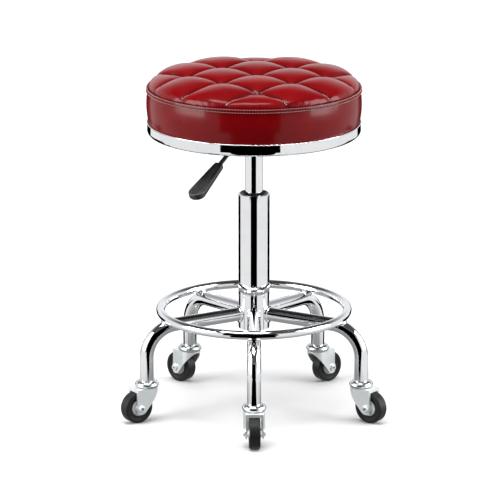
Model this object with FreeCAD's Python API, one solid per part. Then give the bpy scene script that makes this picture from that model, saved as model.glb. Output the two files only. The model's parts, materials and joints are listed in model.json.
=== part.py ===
import FreeCAD, Part
import math
import os
from FreeCAD import Placement, Rotation, Vector

# Rolling stylist stool: a round quilted seat on a gas lift, a five-legged welded tube base with a foot
# ring, and five swivel casters. Millimetres, +Z up, the front leg along -Y, the origin on the floor under
# the column.
os.makedirs("parts", exist_ok=True)
UP = Vector(0, 0, 1)
GAP = 0.05

# ---- base: centre tube, legs, foot ring ----
LEG_NAMES = ["front", "front_right", "back_right", "back_left", "front_left"]
LEG_AZIMUTH = [-90, -18, 54, 126, 198]
COLUMN_R = 25.0
COLUMN_WALL = 2.0
COLUMN_BOTTOM = 139.5
COLUMN_TOP = 361.5
LEG_R = 11.0
LEG_WALL = 1.5
LEG_CIRCLE_R = 180.0
LEG_BEND_R = 52.0
LEG_SLOPE = 4.0
LEG_ROOT_Z = 164.5
LEG_BOTTOM = 66.7
RING_R = 150.0
RING_TUBE_R = 7.0
RING_WALL = 1.2
RING_SINK = 0.8
WELD = 2.4

# ---- casters ----
TRAIL_AZIMUTH = [-88, -38, 40, 138, 215]
TRAIL = 20.0
WHEEL_R = 25.4
WHEEL_W = 17.5
HUB_R = 13.0
HUB_W = 23.0
FORK_T = 2.0
FORK_CROWN_R = 17.2
FORK_LEAN = 8.0
FORK_BACK = 6.0
FORK_LIP_INSIDE = 9.9
FORK_TOP = 56.5
FORK_TIP_R = 10.0
AXLE_SEAT = 15.2
AXLE_R = 3.5
AXLE_BORE = 2.3
STEM_R = 5.5
CAP_R = 19.0
CAP_BOTTOM = 57.5
CAP_TOP = 66.5
CASTER_BALL_R = 1.6
CASTER_BALL_PITCH = 13.5
CASTER_BALLS = 16

# ---- gas lift ----
CYLINDER_R = 14.0
CYLINDER_WALL = 1.75
CYLINDER_BOTTOM = 238.5
CYLINDER_TOP = 443.5
TAPER_START = 424.5
TAPER_END_R = 13.4
ROD_R = 5.0
ROD_TOP = 348.5
BEARING_Z = 147.5
RACE_T = 2.0
THRUST_BALL_R = 2.0
THRUST_PITCH = 9.5
THRUST_BALLS = 12

# ---- seat ----
SEAT_R = 170.0
BAND_FOOT_R = 167.6
BAND_MID_Z = 506.5
LEATHER = 1.4
HEM_FOLD_R = 4.8
HEM_INSIDE_R = 146.0
BOARD_BOTTOM = 462.7
BOARD_T = 12.0
BOARD_R = 166.0
BOARD_EDGE_R = 3.4
SEAM_Z = 534.5
CROWN_Z = 562.5
WADDING_R = 163.0
TRIM_R = 169.4
TRIM_LIP_R = 0.95
TRIM_T = 1.0
TRIM_TOP = 479.5
TRIM_BOTTOM = 459.7
PLATE_HALF = 75.0
PLATE_T = 3.0
PLATE_BOLT = 60.0
CHANNEL_HALF_W = 28.0
CHANNEL_HALF_L = 34.0
CHANNEL_BOTTOM = 431.5
SHEET = 2.5
SLOT_START = 36.0
SLOT_HALF_W = 5.0

# ---- lever ----
LEVER_AZIMUTH = 240.0
LEVER_Z = 451.5
LEVER_R = 3.5
LEVER_PIVOT = 24.0
LEVER_BEND = 59.0
LEVER_DROP = 24.0
LEVER_ROD_LENGTH = 78.0
PADDLE_START = 51.0
PADDLE_LENGTH = 90.0
PIN_TOP = 447.7


def save(name, *solids):
    """Writes one node, a single solid or a group of separate ones."""
    shape = solids[0] if len(solids) == 1 else Part.makeCompound(list(solids))
    shape.exportStep("parts/" + name + ".step")


def spun(shape, azimuth, at=Vector(0, 0, 0)):
    """A copy turned about +Z and then moved."""
    copy = shape.copy()
    copy.Placement = Placement(at, Rotation(UP, azimuth)).multiply(copy.Placement)
    return copy


def polar(radius, azimuth, z=0.0):
    a = math.radians(azimuth)
    return Vector(radius * math.cos(a), radius * math.sin(a), z)


def disc(radius, z0, z1):
    return Part.makeCylinder(radius, z1 - z0, Vector(0, 0, z0))


def washer(r_in, r_out, z0, z1):
    return disc(r_out, z0, z1).cut(disc(r_in, z0 - 1, z1 + 1))


def outline(points, to_vector):
    """A closed wire through 2-D points. A point ("arc", mid, end) is reached by an arc through mid."""
    edges = []
    here = points[0]
    for step in list(points[1:]) + [points[0]]:
        if step[0] == "arc":
            edges.append(Part.Arc(to_vector(here), to_vector(step[1]), to_vector(step[2])).toShape())
            here = step[2]
        elif math.dist(here, step) > 1e-6:
            edges.append(Part.LineSegment(to_vector(here), to_vector(step)).toShape())
            here = step
    return Part.Wire(edges)


def lathe(points):
    """Turns an outline of (radius, height) points about +Z."""
    face = Part.Face(outline(points, lambda p: Vector(p[0], 0, p[1])))
    return face.revolve(Vector(0, 0, 0), UP, 360)


def side_plate(points, y0, y1):
    """An outline of (x, z) points given a thickness from y0 to y1."""
    face = Part.Face(outline(points, lambda p: Vector(p[0], y0, p[1])))
    return face.extrude(Vector(0, y1 - y0, 0))


def flat_plate(points, z0, z1):
    """An outline of (x, y) points given a thickness from z0 to z1."""
    face = Part.Face(outline(points, lambda p: Vector(p[0], p[1], z0)))
    return face.extrude(Vector(0, 0, z1 - z0))


def round_to(centre_r, centre_z, radius, start, end):
    """The ("arc", mid, end) step of an outline that turns about a centre between two angles."""
    def at(angle):
        a = math.radians(angle)
        return (centre_r + radius * math.cos(a), centre_z + radius * math.sin(a))
    return ("arc", at((start + end) / 2), at(end))


def sweep_round(path_edges, radius, start, direction):
    """A round bar of the given radius along a tangent path."""
    ring = Part.Wire([Part.makeCircle(radius, start, direction)])
    return Part.Wire(path_edges).makePipeShell([ring], True, True)


# ------------------------------------------------------------------ base
def leg_path():
    """Centreline of a leg in the XZ plane: down a slight slope, round one bend, then straight down."""
    slope = math.radians(LEG_SLOPE)
    centre_r = LEG_CIRCLE_R - LEG_BEND_R
    tangent_r = centre_r + LEG_BEND_R * math.sin(slope)
    tangent_z = LEG_ROOT_Z - tangent_r * math.tan(slope)
    centre_z = tangent_z - LEG_BEND_R * math.cos(slope)
    mid = math.radians((90 - LEG_SLOPE) / 2)
    start = Vector(0, 0, LEG_ROOT_Z)
    tangent = Vector(tangent_r, 0, tangent_z)
    middle = Vector(centre_r + LEG_BEND_R * math.cos(mid), 0, centre_z + LEG_BEND_R * math.sin(mid))
    corner = Vector(LEG_CIRCLE_R, 0, centre_z)
    foot = Vector(LEG_CIRCLE_R, 0, LEG_BOTTOM)
    edges = [
        Part.LineSegment(start, tangent).toShape(),
        Part.Arc(tangent, middle, corner).toShape(),
        Part.LineSegment(corner, foot).toShape(),
    ]
    return edges, start, tangent.sub(start), centre_r, centre_z


def leg_bar(radius):
    edges, start, direction, _, _ = leg_path()
    return sweep_round(edges, radius, start, direction)


def ring_height():
    """Height of the foot ring's centreline, resting in a shallow cope on the bends."""
    _, _, _, centre_r, centre_z = leg_path()
    reach = LEG_BEND_R + LEG_R + RING_TUBE_R - RING_SINK
    return centre_z + math.sqrt(reach**2 - (RING_R - centre_r) ** 2)


def ring_torus(radius):
    return Part.makeTorus(RING_R, radius, Vector(0, 0, ring_height()), UP)


def build_base():
    column = washer(COLUMN_R - COLUMN_WALL, COLUMN_R, COLUMN_BOTTOM, COLUMN_TOP)
    rim = [e for e in column.Edges if e.BoundBox.ZMin > COLUMN_TOP - 0.01]
    save("centre_tube", column.makeChamfer(0.7, rim))

    outer = leg_bar(LEG_R)
    core = disc(COLUMN_R, COLUMN_BOTTOM - 60, COLUMN_TOP)
    leg = outer.cut(leg_bar(LEG_R - LEG_WALL)).cut(core)
    fat_leg = leg_bar(LEG_R + WELD)
    fat_core = disc(COLUMN_R + WELD, COLUMN_BOTTOM - 60, COLUMN_TOP)
    hub_weld = fat_leg.common(fat_core).cut(core).cut(outer)
    fat_ring = ring_torus(RING_TUBE_R + WELD)
    ring_weld = fat_leg.common(fat_ring).cut(outer).cut(ring_torus(RING_TUBE_R))

    ring = ring_torus(RING_TUBE_R)
    for name, azimuth in zip(LEG_NAMES, LEG_AZIMUTH):
        save("leg_" + name, spun(leg, azimuth))
        ring = ring.cut(spun(outer, azimuth))
    hollow = ring_torus(RING_TUBE_R - RING_WALL)
    save("foot_ring", ring.cut(hollow))
    beads = hub_weld.Solids + ring_weld.Solids
    save("leg_welds", *[spun(bead, azimuth) for azimuth in LEG_AZIMUTH for bead in beads])


# ------------------------------------------------------------------ casters
def caster_cap():
    """Pressed dome that seats the leg and the ball ring, with the ball groove underneath."""
    bore = STEM_R + GAP
    dome = lathe([
        (bore, CAP_BOTTOM), (17.6, CAP_BOTTOM),
        ("arc", (CAP_R - 0.3, CAP_BOTTOM + 1.4), (CAP_R, CAP_BOTTOM + 3.6)),
        ("arc", (CAP_R - 2.1, CAP_TOP - 1.9), (CAP_R - 6.5, CAP_TOP)),
        (bore, CAP_TOP),
    ])
    ball_z = FORK_TOP + CASTER_BALL_R + 0.02
    groove = Part.makeTorus(CASTER_BALL_PITCH, CASTER_BALL_R + 0.1, Vector(0, 0, ball_z), UP)
    return dome.cut(groove)


def caster_stem():
    """Kingpin with its riveted head under the fork and a grip groove near the top."""
    head = FORK_TOP - FORK_T - 0.15
    top = LEG_BOTTOM + 29.8
    return lathe([
        (0, head - 3.4), (5.5, head - 3.4), ("arc", (7.4, head - 2.6), (8.0, head)),
        (STEM_R, head), (STEM_R, top - 9), (STEM_R - 0.8, top - 8.4), (STEM_R - 0.8, top - 5.6),
        (STEM_R, top - 5), (STEM_R, top - 2), (STEM_R - 1.2, top), (0, top),
    ])


def caster_balls():
    z = FORK_TOP + CASTER_BALL_R + 0.02
    step = 360.0 / CASTER_BALLS
    centres = [polar(CASTER_BALL_PITCH, i * step, z) for i in range(CASTER_BALLS)]
    return [Part.makeSphere(CASTER_BALL_R, c) for c in centres]


def fork_plan(inset):
    """Plan of the fork: round the kingpin in front, then two sides that close in towards the back."""
    lean = math.radians(FORK_LEAN)
    r = FORK_CROWN_R - inset
    x, y = r * math.sin(lean), r * math.cos(lean)
    back = TRAIL + FORK_BACK
    back_y = y - (back - x) * math.tan(lean)
    return [(back, -back_y), (x, -y), ("arc", (-r, 0), (x, y)), (back, back_y)]


def caster_fork():
    """Pressed fork: crown plate, two leaning side plates with a lip at the back, a boss at the axle."""
    plate_bottom = FORK_TOP - FORK_T
    back = TRAIL + FORK_BACK
    drop = math.sqrt(FORK_TIP_R**2 - FORK_BACK**2)
    tip = math.radians(52)
    front_tip = (TRAIL - FORK_TIP_R * math.sin(tip), WHEEL_R - FORK_TIP_R * math.cos(tip))
    profile = [
        (-15.6, FORK_TOP), (back, FORK_TOP), (back, WHEEL_R - drop),
        ("arc", (TRAIL, WHEEL_R - FORK_TIP_R), front_tip),
        (-3.6, 38.5), (-15.6, FORK_TOP - 3),
    ]
    wall = flat_plate(fork_plan(0), 10, FORK_TOP).cut(flat_plate(fork_plan(FORK_T), 9, plate_bottom))
    fork = wall.common(side_plate(profile, -FORK_CROWN_R - 1, FORK_CROWN_R + 1))
    fork = fork.fuse(flat_plate(fork_plan(0), plate_bottom, FORK_TOP))
    lip_y = fork_plan(FORK_T)[-1][1] + 0.5
    lip = [(back - 1.8, FORK_TOP), (back, FORK_TOP), (back, WHEEL_R + 8), (back - 1.8, WHEEL_R + 11)]
    for side in (-1, 1):
        fork = fork.fuse(side_plate(lip, side * FORK_LIP_INSIDE, side * lip_y))
        seat = Vector(TRAIL, side * (HUB_W / 2 + 0.15), WHEEL_R)
        fork = fork.fuse(Part.makeCylinder(6.2, AXLE_SEAT - HUB_W / 2 - 0.15, seat, Vector(0, side, 0)))
    fork = fork.fuse(Part.makeBox(1.8, 2 * lip_y, 5, Vector(back - 1.8, -lip_y, FORK_TOP - 5)))
    fork = fork.cut(disc(STEM_R + 0.1, plate_bottom - 1, FORK_TOP + 1))
    reach = AXLE_SEAT + 5
    bore = Part.makeCylinder(AXLE_R + GAP, 2 * reach, Vector(TRAIL, -reach, WHEEL_R), Vector(0, 1, 0))
    return fork.cut(bore).removeSplitter()


def caster_axle():
    """Hollow rivet with a rolled head on each end."""
    face = AXLE_SEAT + 0.05
    head = face + 3.0
    return laid_on_axle(lathe([
        (AXLE_BORE, -head), (AXLE_R + 0.6, -head),
        ("arc", (AXLE_R + 1.5, -head + 0.8), (AXLE_R + 1.8, -face)),
        (AXLE_R, -face), (AXLE_R, face), (AXLE_R + 1.8, face),
        ("arc", (AXLE_R + 1.5, head - 0.8), (AXLE_R + 0.6, head)), (AXLE_BORE, head),
    ]))


def laid_on_axle(shape):
    """Turns a shape made about +Z onto the wheel axle of a caster that trails along +X."""
    copy = shape.copy()
    copy.Placement = Placement(Vector(TRAIL, 0, WHEEL_R), Rotation(Vector(1, 0, 0), 90))
    return copy


def wheel_tyre():
    """Moulded tread with a crowned face and rounded shoulders, dished on each side."""
    half = WHEEL_W / 2
    return laid_on_axle(lathe([
        (HUB_R + GAP, -half + 1.6), (HUB_R + 5.5, -half + 1.2), (HUB_R + 7.0, -half),
        (WHEEL_R - 2.0, -half), ("arc", (WHEEL_R - 0.6, -half + 0.55), (WHEEL_R, -half + 1.9)),
        (WHEEL_R, half - 1.9), ("arc", (WHEEL_R - 0.6, half - 0.55), (WHEEL_R - 2.0, half)),
        (HUB_R + 7.0, half), (HUB_R + 5.5, half - 1.2), (HUB_R + GAP, half - 1.6),
    ]))


def wheel_hub():
    """Hub with a stepped boss each side, bored to run on the rivet."""
    half = HUB_W / 2
    flange = WHEEL_W / 2 - 1.0
    return laid_on_axle(lathe([
        (AXLE_R + GAP, -half), (6.4, -half), (7.2, -half + 0.8), (7.6, -flange), (HUB_R - 0.8, -flange),
        (HUB_R, -flange + 0.8), (HUB_R, flange - 0.8), (HUB_R - 0.8, flange), (7.6, flange),
        (7.2, half - 0.8), (6.4, half), (AXLE_R + GAP, half),
    ]))


def stem_socket():
    """Plug in the foot of the leg tube that grips the kingpin."""
    return washer(STEM_R + GAP, LEG_R - LEG_WALL - GAP, LEG_BOTTOM, LEG_BOTTOM + 29)


def build_casters():
    shared = {"stem_sockets": [stem_socket()], "caster_stems": [caster_stem()],
              "swivel_caps": [caster_cap()], "swivel_balls": caster_balls()}
    own = {"fork_": caster_fork(), "axle_rivet_": caster_axle(),
           "tyre_": wheel_tyre(), "wheel_hub_": wheel_hub()}
    for node, solids in shared.items():
        save(node, *[spun(s, 0, polar(LEG_CIRCLE_R, a)) for a in LEG_AZIMUTH for s in solids])
    for name, azimuth, trail in zip(LEG_NAMES, LEG_AZIMUTH, TRAIL_AZIMUTH):
        for prefix, solid in own.items():
            save(prefix + name, spun(solid, trail, polar(LEG_CIRCLE_R, azimuth)))


# ------------------------------------------------------------------ gas lift
def build_column_fittings():
    """What the centre tube holds: the guide, its cap, the floor plate and the lower race."""
    inside = COLUMN_R - COLUMN_WALL - GAP
    cap_foot = COLUMN_TOP - 12
    save("column_cap", lathe([
        (CYLINDER_R + 0.35, cap_foot), (inside, cap_foot), (inside, COLUMN_TOP - 0.9),
        (inside - 1.6, COLUMN_TOP - 0.4), (CYLINDER_R + 2.4, COLUMN_TOP - 4.4),
        (CYLINDER_R + 0.35, COLUMN_TOP - 3.4),
    ]))
    save("guide_bush", washer(CYLINDER_R + GAP, inside, COLUMN_TOP - 82, cap_foot))
    save("floor_plate", washer(ROD_R + 0.5, inside, BEARING_Z - 4, BEARING_Z))
    save("lower_race", thrust_race(BEARING_Z, BEARING_Z + 0.02 + RACE_T + THRUST_BALL_R, ROD_R + 0.6))


def thrust_race(z0, groove_z, bore):
    race = washer(bore, THRUST_PITCH + 4, z0, z0 + RACE_T)
    return race.cut(Part.makeTorus(THRUST_PITCH, THRUST_BALL_R + 0.1, Vector(0, 0, groove_z - 0.4), UP))


def build_bearing():
    """Thrust balls and their cage, which turn at half the speed of the seat."""
    z = BEARING_Z + RACE_T + THRUST_BALL_R - 0.38
    step = 360.0 / THRUST_BALLS
    centres = [polar(THRUST_PITCH, i * step, z) for i in range(THRUST_BALLS)]
    cage = washer(ROD_R + 1.4, THRUST_PITCH + 3.4, z - 0.6, z + 0.6)
    for c in centres:
        cage = cage.cut(Part.makeCylinder(THRUST_BALL_R + 0.12, 4, Vector(c.x, c.y, z - 2)))
    save("thrust_balls", *[Part.makeSphere(THRUST_BALL_R, c) for c in centres])
    save("ball_cage", cage)


def build_lift_core():
    """Piston rod that the cylinder slides on. It stays at one height and turns with the seat."""
    race_z = BEARING_Z + RACE_T + 2 * THRUST_BALL_R - 0.76
    race = washer(ROD_R + GAP, THRUST_PITCH + 4, race_z, race_z + RACE_T)
    save("upper_race", race.cut(
        Part.makeTorus(THRUST_PITCH, THRUST_BALL_R + 0.1, Vector(0, 0, race_z - THRUST_BALL_R + 0.38), UP)))
    collar_z = race_z + RACE_T + 0.02
    foot = BEARING_Z - 10
    groove = BEARING_Z - 7
    save("piston_rod", lathe([
        (0, foot), (ROD_R - 0.8, foot), (ROD_R, foot + 0.8), (ROD_R, groove), (ROD_R - 1, groove),
        (ROD_R - 1, groove + 1.3), (ROD_R, groove + 1.3), (ROD_R, collar_z), (9, collar_z),
        (9, collar_z + 3), (ROD_R, collar_z + 3), (ROD_R, ROD_TOP - 12), (3.4, ROD_TOP - 12),
        (3.4, ROD_TOP), (0, ROD_TOP),
    ]))
    clip = washer(ROD_R - 1 + GAP, 9.5, groove + 0.1, groove + 1.2)
    save("retaining_clip", clip.cut(Part.makeBox(12, 5.6, 3, Vector(0, -2.8, groove - 1))))
    save("bump_stop", lathe([
        (ROD_R + GAP, collar_z + 3.02), (11, collar_z + 3.02), (12, collar_z + 4.5), (10.5, collar_z + 8.7),
        (12, collar_z + 12.2), (11, collar_z + 12.9), (ROD_R + GAP, collar_z + 12.9),
    ]))
    bore = CYLINDER_R - CYLINDER_WALL
    save("piston", lathe([
        (3.45, ROD_TOP - 11.9), (bore - 0.1, ROD_TOP - 11.9), (bore - 0.1, ROD_TOP - 8.5),
        (bore - 1.4, ROD_TOP - 8), (bore - 1.4, ROD_TOP - 4.5), (bore - 0.1, ROD_TOP - 4),
        (bore - 0.1, ROD_TOP - 1), (3.45, ROD_TOP - 1),
    ]))


def build_cylinder():
    """Pressure tube with its tapered head, the rod gland and the release pin."""
    bore = CYLINDER_R - CYLINDER_WALL
    head = TAPER_START - 3
    save("gas_cylinder", lathe([
        (bore, CYLINDER_BOTTOM), (CYLINDER_R - 0.6, CYLINDER_BOTTOM), (CYLINDER_R, CYLINDER_BOTTOM + 0.6),
        (CYLINDER_R, TAPER_START), (TAPER_END_R, CYLINDER_TOP - 1), (TAPER_END_R - 1, CYLINDER_TOP),
        (2.9, CYLINDER_TOP), (2.9, head), (bore, head),
    ]))
    save("rod_gland", washer(ROD_R + GAP, bore - GAP, CYLINDER_BOTTOM + 0.8, CYLINDER_BOTTOM + 8))
    save("release_pin", lathe([
        (0, head + 4.5), (2.5, head + 4.5), (2.5, PIN_TOP - 0.8), (1.7, PIN_TOP), (0, PIN_TOP),
    ]))


# ------------------------------------------------------------------ seat
def wadding_line(drop):
    """Underside of the quilted panel from its rim to the axis, lowered by drop."""
    return [
        (WADDING_R, SEAM_Z + 0.3 - drop),
        ("arc", (124, CROWN_Z - 19.8 - drop), (70, CROWN_Z - 16.8 - drop)),
        (0, CROWN_Z - 15.8 - drop),
    ]


def build_cushion():
    """Plain closed solids of the padded seat: board, foam, boxing band and top panel."""
    board_top = BOARD_BOTTOM + BOARD_T
    hem = BOARD_BOTTOM - LEATHER
    inner = SEAT_R - LEATHER
    edge = BOARD_R - BOARD_EDGE_R
    board = lathe([
        (0, BOARD_BOTTOM), (edge, BOARD_BOTTOM),
        round_to(edge, BOARD_BOTTOM + BOARD_EDGE_R, BOARD_EDGE_R, -90, 0),
        (BOARD_R, board_top), (0, board_top),
    ])
    nuts = []
    bolts = []
    for sx in (-1, 1):
        for sy in (-1, 1):
            x, y = sx * PLATE_BOLT, sy * PLATE_BOLT
            board = board.cut(Part.makeCylinder(4.2, 40, Vector(x, y, BOARD_BOTTOM - 10)))
            board = board.cut(Part.makeCylinder(9.2, 5, Vector(x, y, board_top - 1.6)))
            flange = Part.makeCylinder(9.0, 1.5, Vector(x, y, board_top - 1.55))
            barrel = Part.makeCylinder(4.0, 9.0, Vector(x, y, board_top - 10.5))
            nut = flange.fuse(barrel).cut(Part.makeCylinder(3.05, 14, Vector(x, y, board_top - 11)))
            nuts.append(nut.removeSplitter())
            bolts.append(seat_bolt(x, y, board_top))
    save("seat_board", spun(board, LEVER_AZIMUTH))
    save("tee_nuts", *[spun(n, LEVER_AZIMUTH) for n in nuts])
    save("seat_bolts", *[spun(b, LEVER_AZIMUTH) for b in bolts])
    save("foam_pad", lathe([
        (0, board_top + 0.2), (BOARD_R - 0.6, board_top + 0.2), (inner - 0.6, BAND_MID_Z),
        (inner - 2.6, SEAM_Z - 4), *wadding_line(0.2),
    ]))
    bend = BAND_FOOT_R - HEM_FOLD_R
    inside = BAND_FOOT_R - LEATHER
    save("side_band", lathe([
        (HEM_INSIDE_R, hem), (bend, hem), round_to(bend, hem + HEM_FOLD_R, HEM_FOLD_R, -90, 0),
        (BAND_FOOT_R, TRIM_TOP + 1), ("arc", (SEAT_R, BAND_MID_Z), (SEAT_R - 1.6, SEAM_Z)),
        (SEAT_R - 3.4, SEAM_Z), ("arc", (inner - 0.2, BAND_MID_Z), (inside, TRIM_TOP + 1)),
        (inside, hem + HEM_FOLD_R), round_to(bend, hem + HEM_FOLD_R, HEM_FOLD_R - LEATHER + 0.02, 0, -90),
        (HEM_INSIDE_R, BOARD_BOTTOM - 0.02),
    ]))
    save("top_panel", lathe([
        *wadding_line(0), (0, CROWN_Z), ("arc", (56, CROWN_Z - 0.64), (112, CROWN_Z - 2.5)),
        ("arc", (138, CROWN_Z - 6.6), (SEAT_R - 12, SEAM_Z + 15)),
        ("arc", (SEAT_R - 3.6, SEAM_Z + 7), (SEAT_R - 1.8, SEAM_Z + 0.3)),
    ]))


def seat_bolt(x, y, board_top):
    """Hex-head bolt from below, through the plate into its tee nut."""
    seat = plate_bottom() - 0.05
    head = hexagon(5.0, seat - 4, seat, x, y)
    shank = Part.makeCylinder(3.0, board_top - 2 - seat, Vector(x, y, seat))
    return head.fuse(shank).removeSplitter()


def hexagon(half_flats, z0, z1, x, y):
    corner = half_flats / math.cos(math.radians(30))
    corners = [polar(corner, 60 * i) for i in range(6)]
    return flat_plate([(x + c.x, y + c.y) for c in corners], z0, z1)


def cover_bottom():
    return BOARD_BOTTOM - LEATHER - 0.6


def plate_bottom():
    return cover_bottom() - PLATE_T


def build_trim():
    """Bright band round the foot of the cushion, rolled under it, and the black cloth that closes it."""
    foot = cover_bottom()
    roll = 6.5
    flange = 156
    centre = (TRIM_R - roll, TRIM_BOTTOM + roll)
    lip_z = TRIM_TOP - TRIM_LIP_R
    lip_out = TRIM_R - TRIM_T + 2 * TRIM_LIP_R
    save("trim_ring", lathe([
        (TRIM_R - TRIM_T, lip_z), round_to(lip_out - TRIM_LIP_R, lip_z, TRIM_LIP_R, 180, 0),
        ("arc", (lip_out - 0.3, lip_z - 0.65), (TRIM_R, lip_z - 0.95)),
        (TRIM_R, centre[1]), round_to(*centre, roll, 0, -90), (flange, TRIM_BOTTOM), (flange, foot - 0.05),
        (centre[0], foot - 0.05), round_to(*centre, roll - TRIM_T, -90, 0),
    ]))
    cloth = washer(30, 160, foot, BOARD_BOTTOM - LEATHER - 0.02)
    for sx in (-1, 1):
        for sy in (-1, 1):
            cloth = cloth.cut(Part.makeCylinder(3.4, 6, Vector(sx * PLATE_BOLT, sy * PLATE_BOLT, foot - 3)))
    save("dust_cover", spun(cloth, LEVER_AZIMUTH))


def build_plate():
    """Pressed seat plate with its channel, the taper socket and the lever pivot, built along the lever."""
    low = plate_bottom()
    top = cover_bottom() - 0.02
    corner = PLATE_HALF - 14
    edge = PLATE_HALF
    points = [(-edge, -corner), (-corner, -edge), (corner, -edge), (edge, -corner),
              (edge, corner), (corner, edge), (-corner, edge), (-edge, corner)]
    plate = flat_plate(points, low, top)
    for sx in (-1, 1):
        for sy in (-1, 1):
            plate = plate.cut(Part.makeCylinder(3.3, 10, Vector(sx * PLATE_BOLT, sy * PLATE_BOLT, low - 3)))
    slot_length = PLATE_HALF - SLOT_START + 1
    relief = Part.makeBox(slot_length, 2 * SLOT_HALF_W, 10, Vector(SLOT_START, -SLOT_HALF_W, low - 3))
    plate = plate.cut(relief)
    width, length = CHANNEL_HALF_W, CHANNEL_HALF_L
    depth = low - CHANNEL_BOTTOM
    channel = Part.makeBox(2 * length, 2 * width, depth, Vector(-length, -width, CHANNEL_BOTTOM))
    corner = Vector(-length - 1, SHEET - width, CHANNEL_BOTTOM + SHEET)
    channel = channel.cut(Part.makeBox(2 * length + 2, 2 * (width - SHEET), depth, corner))
    socket_r = CYLINDER_R + 3.4
    plate = plate.fuse(channel).cut(disc(socket_r + GAP, CHANNEL_BOTTOM - 1, CHANNEL_BOTTOM + SHEET + 1))
    save("seat_plate", spun(plate.removeSplitter(), LEVER_AZIMUTH))
    save("taper_socket", lathe([
        (CYLINDER_R, TAPER_START), (socket_r, TAPER_START), (socket_r, CYLINDER_TOP - 2),
        (taper_radius(CYLINDER_TOP - 2), CYLINDER_TOP - 2),
    ]))
    ear = [
        (LEVER_PIVOT - 5, low - 0.02), (LEVER_PIVOT - 5, LEVER_Z - 1),
        ("arc", (LEVER_PIVOT, LEVER_Z - 5), (LEVER_PIVOT + 5, LEVER_Z - 1)), (LEVER_PIVOT + 5, low - 0.02),
    ]
    hole = Part.makeCylinder(2.05, 40, Vector(LEVER_PIVOT, -20, LEVER_Z), Vector(0, 1, 0))
    ears = [side_plate(ear, s * 6.6, s * 9.1).cut(hole) for s in (-1, 1)]
    save("lever_ears", *[spun(e, LEVER_AZIMUTH) for e in ears])
    pin = Part.makeCylinder(2.0, 22, Vector(LEVER_PIVOT, -11, LEVER_Z), Vector(0, 1, 0))
    save("pivot_pin", spun(pin, LEVER_AZIMUTH))


def taper_radius(z):
    share = (z - TAPER_START) / (CYLINDER_TOP - 1 - TAPER_START)
    return CYLINDER_R + share * (TAPER_END_R - CYLINDER_R)


# ------------------------------------------------------------------ lever
def sloped(along, across, height):
    """A point of the lever's dropping arm, measured from the bend along the slope."""
    c, s = math.cos(math.radians(LEVER_DROP)), math.sin(math.radians(LEVER_DROP))
    return Vector(LEVER_BEND + along * c + height * s, across, LEVER_Z - along * s + height * c)


def build_lever():
    """Rod with a pivot eye, bent down to a moulded paddle."""
    tip = -4.0
    bend_r = 16.0
    half = math.radians(LEVER_DROP) / 2
    run = bend_r * math.tan(half)
    start = Vector(tip, 0, LEVER_Z)
    bend_in = Vector(LEVER_BEND - run, 0, LEVER_Z)
    bend_out = sloped(run, 0, 0)
    mid = Vector(bend_in.x + bend_r * math.sin(half), 0, LEVER_Z - bend_r * (1 - math.cos(half)))
    end = sloped(LEVER_ROD_LENGTH, 0, 0)
    edges = [Part.LineSegment(start, bend_in).toShape(), Part.Arc(bend_in, mid, bend_out).toShape(),
             Part.LineSegment(bend_out, end).toShape()]
    rod = sweep_round(edges, LEVER_R, start, Vector(1, 0, 0))
    eye = Part.makeCylinder(5.4, 12.4, Vector(LEVER_PIVOT, -6.2, LEVER_Z), Vector(0, 1, 0))
    hole = Part.makeCylinder(2.05, 40, Vector(LEVER_PIVOT, -20, LEVER_Z), Vector(0, 1, 0))
    rod = rod.fuse(eye).cut(hole).removeSplitter()
    save("lever_rod", spun(rod, LEVER_AZIMUTH))

    a0, a1 = PADDLE_START, PADDLE_START + PADDLE_LENGTH
    near, far, radius, thick = 7.0, 13.5, 10.0, 5.5
    plan = [(a0, -near), (a1 - radius, -far), (a1, -far + radius),
            (a1, far - radius), (a1 - radius, far), (a0, near)]
    wire = Part.makePolygon([sloped(x, y, -thick) for x, y in plan + plan[:1]])
    up = sloped(0, 0, 1).sub(sloped(0, 0, 0))
    paddle = Part.Face(wire).extrude(up * (2 * thick))
    paddle = paddle.cut(rod)
    save("lever_paddle", spun(paddle, LEVER_AZIMUTH))


build_base()
build_casters()
build_column_fittings()
build_bearing()
build_lift_core()
build_cylinder()
build_cushion()
build_trim()
build_plate()
build_lever()
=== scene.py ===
import json
import math
import bmesh
import bpy
from mathutils import Matrix, Vector, noise


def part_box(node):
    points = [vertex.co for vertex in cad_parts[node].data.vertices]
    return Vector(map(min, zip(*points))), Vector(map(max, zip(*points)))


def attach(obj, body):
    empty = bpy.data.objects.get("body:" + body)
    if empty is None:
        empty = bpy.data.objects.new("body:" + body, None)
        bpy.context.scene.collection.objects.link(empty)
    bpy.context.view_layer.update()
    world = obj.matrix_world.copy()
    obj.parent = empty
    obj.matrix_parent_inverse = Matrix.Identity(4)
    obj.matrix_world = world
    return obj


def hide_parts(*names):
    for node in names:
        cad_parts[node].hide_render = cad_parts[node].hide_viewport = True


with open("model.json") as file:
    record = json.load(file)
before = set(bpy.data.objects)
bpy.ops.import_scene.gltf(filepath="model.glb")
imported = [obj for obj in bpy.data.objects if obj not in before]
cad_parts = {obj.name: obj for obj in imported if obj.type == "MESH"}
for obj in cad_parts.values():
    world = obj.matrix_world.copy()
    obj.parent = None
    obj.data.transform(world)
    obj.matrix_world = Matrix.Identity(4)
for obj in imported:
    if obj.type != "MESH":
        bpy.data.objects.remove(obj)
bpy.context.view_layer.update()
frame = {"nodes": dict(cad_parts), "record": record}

scene = bpy.context.scene
up = Vector((0, 0, 1))

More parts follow.
